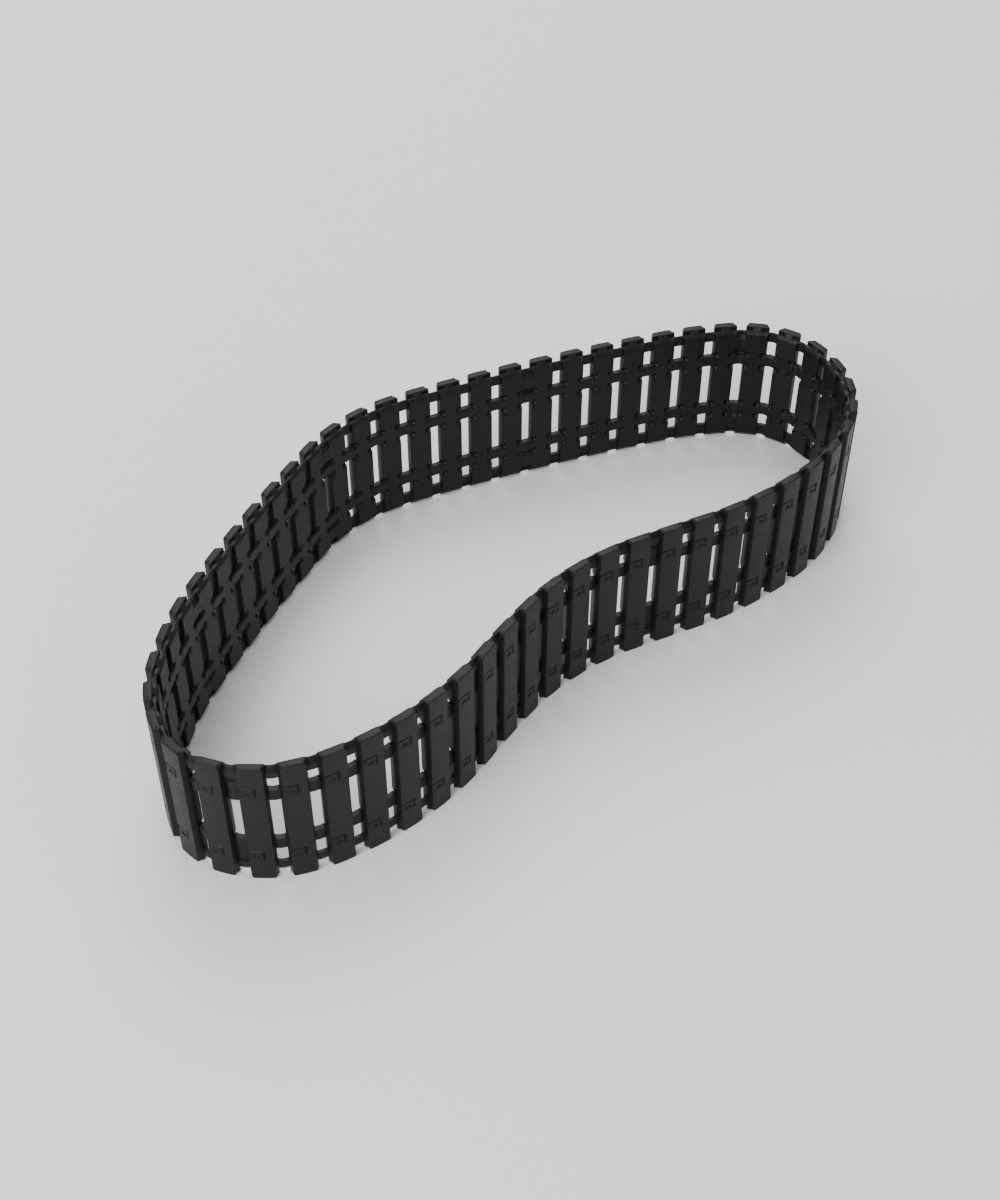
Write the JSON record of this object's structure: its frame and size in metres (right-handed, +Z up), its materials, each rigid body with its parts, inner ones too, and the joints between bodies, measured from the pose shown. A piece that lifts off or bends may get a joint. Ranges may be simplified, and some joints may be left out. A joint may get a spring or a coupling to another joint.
{
  "type": "rubber track",
  "caption": "Endless moulded rubber track for a small tracked machine: stiff tapered tread bars joined by thin windowed webs that bend, standing on its edge in a bean-shaped loop",
  "frame": {"origin": "centre of the loop's outline, on the plane that the ends of the tread bars stand on", "axes": "+X along the loop's longest reach, +Y from the dented front run to the back run, +Z up, across the width of the track"},
  "size_m": [0.1928, 0.0842, 0.034],
  "materials": {
    "rubber": "satin moulded black rubber"
  },
  "bodies": {
    "tread_link_01": {"tread_link_01": "rubber"},
    "tread_link_02": {"tread_link_02": "rubber"},
    "tread_link_03": {"tread_link_03": "rubber"},
    "tread_link_04": {"tread_link_04": "rubber"},
    "tread_link_05": {"tread_link_05": "rubber"},
    "tread_link_06": {"tread_link_06": "rubber"},
    "tread_link_07": {"tread_link_07": "rubber"},
    "tread_link_08": {"tread_link_08": "rubber"},
    "tread_link_09": {"tread_link_09": "rubber"},
    "tread_link_10": {"tread_link_10": "rubber"},
    "tread_link_11": {"tread_link_11": "rubber"},
    "tread_link_12": {"tread_link_12": "rubber"},
    "tread_link_13": {"tread_link_13": "rubber"},
    "tread_link_14": {"tread_link_14": "rubber"},
    "tread_link_15": {"tread_link_15": "rubber"},
    "tread_link_16": {"tread_link_16": "rubber"},
    "tread_link_17": {"tread_link_17": "rubber"},
    "tread_link_18": {"tread_link_18": "rubber"},
    "tread_link_19": {"tread_link_19": "rubber"},
    "tread_link_20": {"tread_link_20": "rubber"},
    "tread_link_21": {"tread_link_21": "rubber"},
    "tread_link_22": {"tread_link_22": "rubber"},
    "tread_link_23": {"tread_link_23": "rubber"},
    "tread_link_24": {"tread_link_24": "rubber"},
    "tread_link_25": {"tread_link_25": "rubber"},
    "tread_link_26": {"tread_link_26": "rubber"},
    "tread_link_27": {"tread_link_27": "rubber"},
    "tread_link_28": {"tread_link_28": "rubber"},
    "tread_link_29": {"tread_link_29": "rubber"},
    "tread_link_30": {"tread_link_30": "rubber"},
    "tread_link_31": {"tread_link_31": "rubber"},
    "tread_link_32": {"tread_link_32": "rubber"},
    "tread_link_33": {"tread_link_33": "rubber"},
    "tread_link_34": {"tread_link_34": "rubber"},
    "tread_link_35": {"tread_link_35": "rubber"},
    "tread_link_36": {"tread_link_36": "rubber"},
    "tread_link_37": {"tread_link_37": "rubber"},
    "tread_link_38": {"tread_link_38": "rubber"},
    "tread_link_39": {"tread_link_39": "rubber"},
    "tread_link_40": {"tread_link_40": "rubber"},
    "tread_link_41": {"tread_link_41": "rubber"},
    "tread_link_42": {"tread_link_42": "rubber"},
    "tread_link_43": {"tread_link_43": "rubber"},
    "tread_link_44": {"tread_link_44": "rubber"},
    "tread_link_45": {"tread_link_45": "rubber"},
    "tread_link_46": {"tread_link_46": "rubber"},
    "tread_link_47": {"tread_link_47": "rubber"},
    "tread_link_48": {"tread_link_48": "rubber"},
    "tread_link_49": {"tread_link_49": "rubber"},
    "tread_link_50": {"tread_link_50": "rubber"},
    "tread_link_51": {"tread_link_51": "rubber"},
    "tread_link_52": {"tread_link_52": "rubber"},
    "tread_link_53": {"tread_link_53": "rubber"},
    "tread_link_54": {"tread_link_54": "rubber"},
    "tread_link_55": {"tread_link_55": "rubber"},
    "tread_link_56": {"tread_link_56": "rubber"}
  },
  "joints": [
    {"name": "web_bend_01", "type": "hinge", "parent": "tread_link_02", "child": "tread_link_01", "pos_m": [0.08048, -0.0346, 0.017], "axis": [0, 0, -1], "range_deg": [-5.18, 5.18], "stiffness_Nm_per_rad": 0.005},
    {"name": "web_bend_02", "type": "hinge", "parent": "tread_link_03", "child": "tread_link_02", "pos_m": [0.08668, -0.02954, 0.017], "axis": [0, 0, -1], "range_deg": [-1.93, 1.93], "stiffness_Nm_per_rad": 0.005},
    {"name": "web_bend_03", "type": "hinge", "parent": "tread_link_04", "child": "tread_link_03", "pos_m": [0.0913, -0.02302, 0.017], "axis": [0, 0, -1], "range_deg": [-3.58, 3.58], "stiffness_Nm_per_rad": 0.005},
    {"name": "web_bend_04", "type": "hinge", "parent": "tread_link_05", "child": "tread_link_04", "pos_m": [0.09402, -0.01549, 0.017], "axis": [0, 0, -1], "range_deg": [-5.81, 5.81], "stiffness_Nm_per_rad": 0.005},
    {"name": "web_bend_05", "type": "hinge", "parent": "tread_link_06", "child": "tread_link_05", "pos_m": [0.09463, -0.00751, 0.017], "axis": [0, 0, -1], "range_deg": [-0.3, 0.3], "stiffness_Nm_per_rad": 0.005},
    {"name": "web_bend_06", "type": "hinge", "parent": "tread_link_07", "child": "tread_link_06", "pos_m": [0.09215, 0.00009, 0.017], "axis": [0, 0, -1], "range_deg": [-5.23, 5.23], "stiffness_Nm_per_rad": 0.005},
    {"name": "web_bend_07", "type": "hinge", "parent": "tread_link_08", "child": "tread_link_07", "pos_m": [0.08694, 0.00617, 0.017], "axis": [0, 0, -1], "range_deg": [-3.09, 3.09], "stiffness_Nm_per_rad": 0.005},
    {"name": "web_bend_08", "type": "hinge", "parent": "tread_link_09", "child": "tread_link_08", "pos_m": [0.08027, 0.01058, 0.017], "axis": [0, 0, -1], "range_deg": [-1.18, 1.18], "stiffness_Nm_per_rad": 0.005},
    {"name": "web_bend_09", "type": "hinge", "parent": "tread_link_10", "child": "tread_link_09", "pos_m": [0.07323, 0.01439, 0.017], "axis": [0, 0, -1], "range_deg": [-3.67, 3.67], "stiffness_Nm_per_rad": 0.005},
    {"name": "web_bend_10", "type": "hinge", "parent": "tread_link_11", "child": "tread_link_10", "pos_m": [0.06589, 0.01757, 0.017], "axis": [0, 0, -1], "range_deg": [-2.71, 2.71], "stiffness_Nm_per_rad": 0.005},
    {"name": "web_bend_11", "type": "hinge", "parent": "tread_link_12", "child": "tread_link_11", "pos_m": [0.05851, 0.02064, 0.017], "axis": [0, 0, -1], "range_deg": [-1.77, 1.77], "stiffness_Nm_per_rad": 0.005},
    {"name": "web_bend_12", "type": "hinge", "parent": "tread_link_13", "child": "tread_link_12", "pos_m": [0.05107, 0.02359, 0.017], "axis": [0, 0, -1], "range_deg": [-4.4, 4.4], "stiffness_Nm_per_rad": 0.005},
    {"name": "web_bend_13", "type": "hinge", "parent": "tread_link_14", "child": "tread_link_13", "pos_m": [0.04359, 0.02643, 0.017], "axis": [0, 0, -1], "range_deg": [-0.41, 0.41], "stiffness_Nm_per_rad": 0.005},
    {"name": "web_bend_14", "type": "hinge", "parent": "tread_link_15", "child": "tread_link_14", "pos_m": [0.03606, 0.02914, 0.017], "axis": [0, 0, -1], "range_deg": [-4.39, 4.39], "stiffness_Nm_per_rad": 0.005},
    {"name": "web_bend_15", "type": "hinge", "parent": "tread_link_16", "child": "tread_link_15", "pos_m": [0.02849, 0.03173, 0.017], "axis": [0, 0, -1], "range_deg": [-1.97, 1.97], "stiffness_Nm_per_rad": 0.005},
    {"name": "web_bend_16", "type": "hinge", "parent": "tread_link_17", "child": "tread_link_16", "pos_m": [0.02089, 0.0342, 0.017], "axis": [0, 0, -1], "range_deg": [-3.02, 3.02], "stiffness_Nm_per_rad": 0.005},
    {"name": "web_bend_17", "type": "hinge", "parent": "tread_link_18", "child": "tread_link_17", "pos_m": [0.01324, 0.03655, 0.017], "axis": [0, 0, -1], "range_deg": [-2.8, 2.8], "stiffness_Nm_per_rad": 0.005},
    {"name": "web_bend_18", "type": "hinge", "parent": "tread_link_19", "child": "tread_link_18", "pos_m": [0.00555, 0.03877, 0.017], "axis": [0, 0, -1], "range_deg": [-0.36, 0.36], "stiffness_Nm_per_rad": 0.005},
    {"name": "web_bend_19", "type": "hinge", "parent": "tread_link_20", "child": "tread_link_19", "pos_m": [-0.00231, 0.04024, 0.017], "axis": [0, 0, -1], "range_deg": [-2.91, 2.91], "stiffness_Nm_per_rad": 0.005},
    {"name": "web_bend_20", "type": "hinge", "parent": "tread_link_21", "child": "tread_link_20", "pos_m": [-0.01031, 0.04025, 0.017], "axis": [0, 0, -1], "range_deg": [-2.7, 2.7], "stiffness_Nm_per_rad": 0.005},
    {"name": "web_bend_21", "type": "hinge", "parent": "tread_link_22", "child": "tread_link_21", "pos_m": [-0.01818, 0.03879, 0.017], "axis": [0, 0, -1], "range_deg": [-2.5, 2.5], "stiffness_Nm_per_rad": 0.005},
    {"name": "web_bend_22", "type": "hinge", "parent": "tread_link_22", "child": "tread_link_23", "pos_m": [-0.02565, 0.03592, 0.017], "axis": [0, 0, 1], "range_deg": [-3.69, 3.69], "stiffness_Nm_per_rad": 0.005},
    {"name": "web_bend_23", "type": "hinge", "parent": "tread_link_23", "child": "tread_link_24", "pos_m": [-0.03306, 0.03291, 0.017], "axis": [0, 0, 1], "range_deg": [-1.5, 1.5], "stiffness_Nm_per_rad": 0.005},
    {"name": "web_bend_24", "type": "hinge", "parent": "tread_link_24", "child": "tread_link_25", "pos_m": [-0.04042, 0.02977, 0.017], "axis": [0, 0, 1], "range_deg": [-3.77, 3.77], "stiffness_Nm_per_rad": 0.005},
    {"name": "web_bend_25", "type": "hinge", "parent": "tread_link_25", "child": "tread_link_26", "pos_m": [-0.04772, 0.0265, 0.017], "axis": [0, 0, 1], "range_deg": [-0.82, 0.82], "stiffness_Nm_per_rad": 0.005},
    {"name": "web_bend_26", "type": "hinge", "parent": "tread_link_26", "child": "tread_link_27", "pos_m": [-0.05495, 0.02309, 0.017], "axis": [0, 0, 1], "range_deg": [-3.26, 3.26], "stiffness_Nm_per_rad": 0.005},
    {"name": "web_bend_27", "type": "hinge", "parent": "tread_link_27", "child": "tread_link_28", "pos_m": [-0.06213, 0.01955, 0.017], "axis": [0, 0, 1], "range_deg": [-3.25, 3.25], "stiffness_Nm_per_rad": 0.005},
    {"name": "web_bend_28", "type": "hinge", "parent": "tread_link_28", "child": "tread_link_29", "pos_m": [-0.06924, 0.01588, 0.017], "axis": [0, 0, 1], "range_deg": [-0.92, 0.92], "stiffness_Nm_per_rad": 0.005},
    {"name": "web_bend_29", "type": "hinge", "parent": "tread_link_29", "child": "tread_link_30", "pos_m": [-0.07596, 0.01154, 0.017], "axis": [0, 0, 1], "range_deg": [-3.27, 3.27], "stiffness_Nm_per_rad": 0.005},
    {"name": "web_bend_30", "type": "hinge", "parent": "tread_link_30", "child": "tread_link_31", "pos_m": [-0.08223, 0.00657, 0.017], "axis": [0, 0, 1], "range_deg": [-4.03, 4.03], "stiffness_Nm_per_rad": 0.005},
    {"name": "web_bend_31", "type": "hinge", "parent": "tread_link_31", "child": "tread_link_32", "pos_m": [-0.08799, 0.00102, 0.017], "axis": [0, 0, 1], "range_deg": [-1.36, 1.36], "stiffness_Nm_per_rad": 0.005},
    {"name": "web_bend_32", "type": "hinge", "parent": "tread_link_32", "child": "tread_link_33", "pos_m": [-0.09223, -0.00576, 0.017], "axis": [0, 0, 1], "range_deg": [-6.04, 6.04], "stiffness_Nm_per_rad": 0.005},
    {"name": "web_bend_33", "type": "hinge", "parent": "tread_link_33", "child": "tread_link_34", "pos_m": [-0.09471, -0.01337, 0.017], "axis": [0, 0, 1], "range_deg": [-1.02, 1.02], "stiffness_Nm_per_rad": 0.005},
    {"name": "web_bend_34", "type": "hinge", "parent": "tread_link_34", "child": "tread_link_35", "pos_m": [-0.09373, -0.02131, 0.017], "axis": [0, 0, 1], "range_deg": [-3.75, 3.75], "stiffness_Nm_per_rad": 0.005},
    {"name": "web_bend_35", "type": "hinge", "parent": "tread_link_35", "child": "tread_link_36", "pos_m": [-0.08948, -0.02809, 0.017], "axis": [0, 0, 1], "range_deg": [-1.94, 1.94], "stiffness_Nm_per_rad": 0.005},
    {"name": "web_bend_36", "type": "hinge", "parent": "tread_link_36", "child": "tread_link_37", "pos_m": [-0.08344, -0.03333, 0.017], "axis": [0, 0, 1], "range_deg": [-0.3, 0.3], "stiffness_Nm_per_rad": 0.005},
    {"name": "web_bend_37", "type": "hinge", "parent": "tread_link_37", "child": "tread_link_38", "pos_m": [-0.07612, -0.03657, 0.017], "axis": [0, 0, 1], "range_deg": [-4.21, 4.21], "stiffness_Nm_per_rad": 0.005},
    {"name": "web_bend_38", "type": "hinge", "parent": "tread_link_38", "child": "tread_link_39", "pos_m": [-0.06832, -0.03836, 0.017], "axis": [0, 0, 1], "range_deg": [-2.69, 2.69], "stiffness_Nm_per_rad": 0.005},
    {"name": "web_bend_39", "type": "hinge", "parent": "tread_link_39", "child": "tread_link_40", "pos_m": [-0.06038, -0.03932, 0.017], "axis": [0, 0, 1], "range_deg": [-2.93, 2.93], "stiffness_Nm_per_rad": 0.005},
    {"name": "web_bend_40", "type": "hinge", "parent": "tread_link_40", "child": "tread_link_41", "pos_m": [-0.05238, -0.03944, 0.017], "axis": [0, 0, 1], "range_deg": [-4.37, 4.37], "stiffness_Nm_per_rad": 0.005},
    {"name": "web_bend_41", "type": "hinge", "parent": "tread_link_41", "child": "tread_link_42", "pos_m": [-0.04442, -0.03873, 0.017], "axis": [0, 0, 1], "range_deg": [-0.5, 0.5], "stiffness_Nm_per_rad": 0.005},
    {"name": "web_bend_42", "type": "hinge", "parent": "tread_link_42", "child": "tread_link_43", "pos_m": [-0.03657, -0.03719, 0.017], "axis": [0, 0, 1], "range_deg": [-4.48, 4.48], "stiffness_Nm_per_rad": 0.005},
    {"name": "web_bend_43", "type": "hinge", "parent": "tread_link_43", "child": "tread_link_44", "pos_m": [-0.02892, -0.03484, 0.017], "axis": [0, 0, 1], "range_deg": [-1.85, 1.85], "stiffness_Nm_per_rad": 0.005},
    {"name": "web_bend_44", "type": "hinge", "parent": "tread_link_44", "child": "tread_link_45", "pos_m": [-0.02119, -0.03275, 0.017], "axis": [0, 0, 1], "range_deg": [-2.28, 2.28], "stiffness_Nm_per_rad": 0.005},
    {"name": "web_bend_45", "type": "hinge", "parent": "tread_link_45", "child": "tread_link_46", "pos_m": [-0.0134, -0.03094, 0.017], "axis": [0, 0, 1], "range_deg": [-2.73, 2.73], "stiffness_Nm_per_rad": 0.005},
    {"name": "web_bend_46", "type": "hinge", "parent": "tread_link_46", "child": "tread_link_47", "pos_m": [-0.00545, -0.0301, 0.017], "axis": [0, 0, 1], "range_deg": [-0.43, 0.43], "stiffness_Nm_per_rad": 0.005},
    {"name": "web_bend_47", "type": "hinge", "parent": "tread_link_47", "child": "tread_link_48", "pos_m": [0.00255, -0.03023, 0.017], "axis": [0, 0, 1], "range_deg": [-3.02, 3.02], "stiffness_Nm_per_rad": 0.005},
    {"name": "web_bend_48", "type": "hinge", "parent": "tread_link_48", "child": "tread_link_49", "pos_m": [0.01047, -0.03133, 0.017], "axis": [0, 0, 1], "range_deg": [-0.84, 0.84], "stiffness_Nm_per_rad": 0.005},
    {"name": "web_bend_49", "type": "hinge", "parent": "tread_link_49", "child": "tread_link_50", "pos_m": [0.0182, -0.0334, 0.017], "axis": [0, 0, 1], "range_deg": [-2.95, 2.95], "stiffness_Nm_per_rad": 0.005},
    {"name": "web_bend_50", "type": "hinge", "parent": "tread_link_50", "child": "tread_link_51", "pos_m": [0.02591, -0.03553, 0.017], "axis": [0, 0, 1], "range_deg": [-2.36, 2.36], "stiffness_Nm_per_rad": 0.005},
    {"name": "web_bend_51", "type": "hinge", "parent": "tread_link_51", "child": "tread_link_52", "pos_m": [0.0336, -0.03774, 0.017], "axis": [0, 0, 1], "range_deg": [-1.21, 1.21], "stiffness_Nm_per_rad": 0.005},
    {"name": "web_bend_52", "type": "hinge", "parent": "tread_link_52", "child": "tread_link_53", "pos_m": [0.04145, -0.03927, 0.017], "axis": [0, 0, 1], "range_deg": [-2.77, 2.77], "stiffness_Nm_per_rad": 0.005},
    {"name": "web_bend_53", "type": "hinge", "parent": "tread_link_53", "child": "tread_link_54", "pos_m": [0.04941, -0.04012, 0.017], "axis": [0, 0, 1], "range_deg": [-1.74, 1.74], "stiffness_Nm_per_rad": 0.005},
    {"name": "web_bend_54", "type": "hinge", "parent": "tread_link_54", "child": "tread_link_55", "pos_m": [0.05741, -0.04027, 0.017], "axis": [0, 0, 1], "range_deg": [-1.62, 1.62], "stiffness_Nm_per_rad": 0.005},
    {"name": "web_bend_55", "type": "hinge", "parent": "tread_link_55", "child": "tread_link_56", "pos_m": [0.06539, -0.03974, 0.017], "axis": [0, 0, 1], "range_deg": [-3.84, 3.84], "stiffness_Nm_per_rad": 0.005}
  ],
  "couplings": [
    {"joint": "web_bend_01", "follows": "web_bend_21", "ratio": 2.064},
    {"joint": "web_bend_02", "follows": "web_bend_22", "ratio": 0.5156},
    {"joint": "web_bend_03", "follows": "web_bend_21", "ratio": 1.4216},
    {"joint": "web_bend_04", "follows": "web_bend_22", "ratio": 1.5675},
    {"joint": "web_bend_05", "follows": "web_bend_21", "ratio": -0.07083},
    {"joint": "web_bend_06", "follows": "web_bend_22", "ratio": 1.4103},
    {"joint": "web_bend_07", "follows": "web_bend_21", "ratio": -1.227},
    {"joint": "web_bend_08", "follows": "web_bend_22", "ratio": 0.31193},
    {"joint": "web_bend_09", "follows": "web_bend_21", "ratio": -1.4584},
    {"joint": "web_bend_10", "follows": "web_bend_22", "ratio": -0.7283},
    {"joint": "web_bend_11", "follows": "web_bend_21", "ratio": -0.69741},
    {"joint": "web_bend_12", "follows": "web_bend_22", "ratio": -1.1854},
    {"joint": "web_bend_13", "follows": "web_bend_21", "ratio": 0.1557},
    {"joint": "web_bend_14", "follows": "web_bend_22", "ratio": -1.182},
    {"joint": "web_bend_15", "follows": "web_bend_21", "ratio": 0.77758},
    {"joint": "web_bend_16", "follows": "web_bend_22", "ratio": -0.81165},
    {"joint": "web_bend_17", "follows": "web_bend_21", "ratio": 1.1098},
    {"joint": "web_bend_18", "follows": "web_bend_22", "ratio": -0.08958},
    {"joint": "web_bend_19", "follows": "web_bend_21", "ratio": 1.1536},
    {"joint": "web_bend_20", "follows": "web_bend_22", "ratio": 0.72364},
    {"joint": "web_bend_23", "follows": "web_bend_21", "ratio": 0.59123},
    {"joint": "web_bend_24", "follows": "web_bend_22", "ratio": 1.015},
    {"joint": "web_bend_25", "follows": "web_bend_21", "ratio": -0.31618},
    {"joint": "web_bend_26", "follows": "web_bend_22", "ratio": 0.87612},
    {"joint": "web_bend_27", "follows": "web_bend_21", "ratio": -1.2902},
    {"joint": "web_bend_28", "follows": "web_bend_22", "ratio": 0.24149},
    {"joint": "web_bend_29", "follows": "web_bend_21", "ratio": -1.2977},
    {"joint": "web_bend_30", "follows": "web_bend_22", "ratio": -1.0861},
    {"joint": "web_bend_31", "follows": "web_bend_21", "ratio": -0.535},
    {"joint": "web_bend_32", "follows": "web_bend_22", "ratio": -1.6313},
    {"joint": "web_bend_33", "follows": "web_bend_21", "ratio": -0.39755},
    {"joint": "web_bend_34", "follows": "web_bend_22", "ratio": -1.0108},
    {"joint": "web_bend_35", "follows": "web_bend_21", "ratio": 0.7661},
    {"joint": "web_bend_36", "follows": "web_bend_22", "ratio": 0.02841},
    {"joint": "web_bend_37", "follows": "web_bend_21", "ratio": 1.6749},
    {"joint": "web_bend_38", "follows": "web_bend_22", "ratio": 0.72198},
    {"joint": "web_bend_39", "follows": "web_bend_21", "ratio": 1.1633},
    {"joint": "web_bend_40", "follows": "web_bend_22", "ratio": 1.1767},
    {"joint": "web_bend_41", "follows": "web_bend_21", "ratio": 0.1908},
    {"joint": "web_bend_42", "follows": "web_bend_22", "ratio": 1.2061},
    {"joint": "web_bend_43", "follows": "web_bend_21", "ratio": -0.73146},
    {"joint": "web_bend_44", "follows": "web_bend_22", "ratio": 0.61089},
    {"joint": "web_bend_45", "follows": "web_bend_21", "ratio": -1.0809},
    {"joint": "web_bend_46", "follows": "web_bend_22", "ratio": 0.10906},
    {"joint": "web_bend_47", "follows": "web_bend_21", "ratio": -1.197},
    {"joint": "web_bend_48", "follows": "web_bend_22", "ratio": -0.22112},
    {"joint": "web_bend_49", "follows": "web_bend_21", "ratio": -1.1683},
    {"joint": "web_bend_50", "follows": "web_bend_22", "ratio": -0.63397},
    {"joint": "web_bend_51", "follows": "web_bend_21", "ratio": -0.47545},
    {"joint": "web_bend_52", "follows": "web_bend_22", "ratio": -0.74525},
    {"joint": "web_bend_53", "follows": "web_bend_21", "ratio": 0.68605},
    {"joint": "web_bend_54", "follows": "web_bend_22", "ratio": -0.43165},
    {"joint": "web_bend_55", "follows": "web_bend_21", "ratio": 1.5243}
  ]
}
